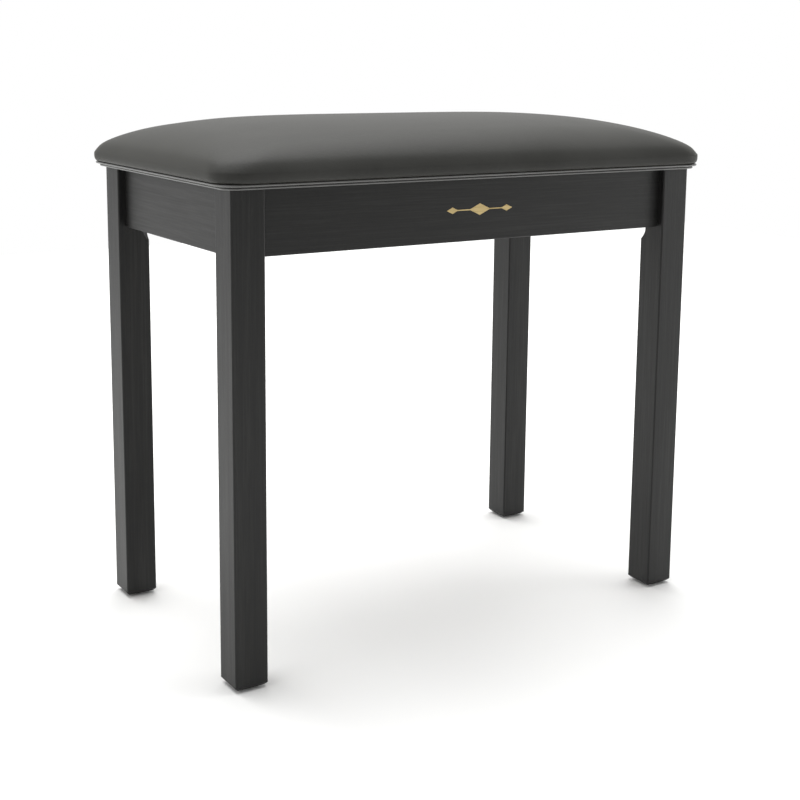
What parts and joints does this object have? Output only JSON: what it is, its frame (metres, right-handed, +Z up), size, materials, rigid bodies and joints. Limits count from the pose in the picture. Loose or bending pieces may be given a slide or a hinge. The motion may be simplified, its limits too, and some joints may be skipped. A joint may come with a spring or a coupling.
{
  "type": "piano bench",
  "caption": "Fixed bench with square legs, a shallow apron frame with corner brackets, and a crowned padded seat on a moulded board.",
  "frame": {"origin": "bottom centre of the bench, on the floor, midway between the legs", "axes": "+X to the right as seen from the front, +Y to the rear, +Z up"},
  "size_m": [0.546, 0.32, 0.499],
  "materials": {
    "stained_wood": "satin black stained and lacquered, open grain",
    "bare_wood": "planed softwood, unfinished",
    "plywood": "sanded plywood, unfinished",
    "vinyl": "soft black leathercloth, matt satin",
    "foam": "open-cell foam",
    "zinc": "bright zinc plated",
    "glide_plastic": "moulded, fine matt",
    "brass": "satin brass"
  },
  "bodies": {
    "root": {"leg_front_left": "stained_wood", "leg_front_right": "stained_wood", "leg_rear_left": "stained_wood", "leg_rear_right": "stained_wood", "apron_front": "stained_wood", "apron_rear": "stained_wood", "apron_left": "stained_wood", "apron_right": "stained_wood", "bracket_front_left": "zinc", "bracket_front_right": "zinc", "bracket_rear_left": "zinc", "bracket_rear_right": "zinc", "hanger_bolts": "zinc", "hanger_washers": "zinc", "hanger_nuts": "zinc", "bracket_screws": "zinc", "cleat_front": "bare_wood", "cleat_rear": "bare_wood", "cleat_left": "bare_wood", "cleat_right": "bare_wood", "cleat_screws": "zinc", "seat_screws": "zinc", "seat_board": "stained_wood", "cushion_screws": "zinc", "cushion_base": "plywood", "cushion_foam": "foam", "cushion_cover": "vinyl", "cover_staples": "zinc", "glide_front_left": "glide_plastic", "glide_front_right": "glide_plastic", "glide_rear_left": "glide_plastic", "glide_rear_right": "glide_plastic", "glide_nails": "zinc", "apron_inlay": "brass"}
  },
  "joints": []
}
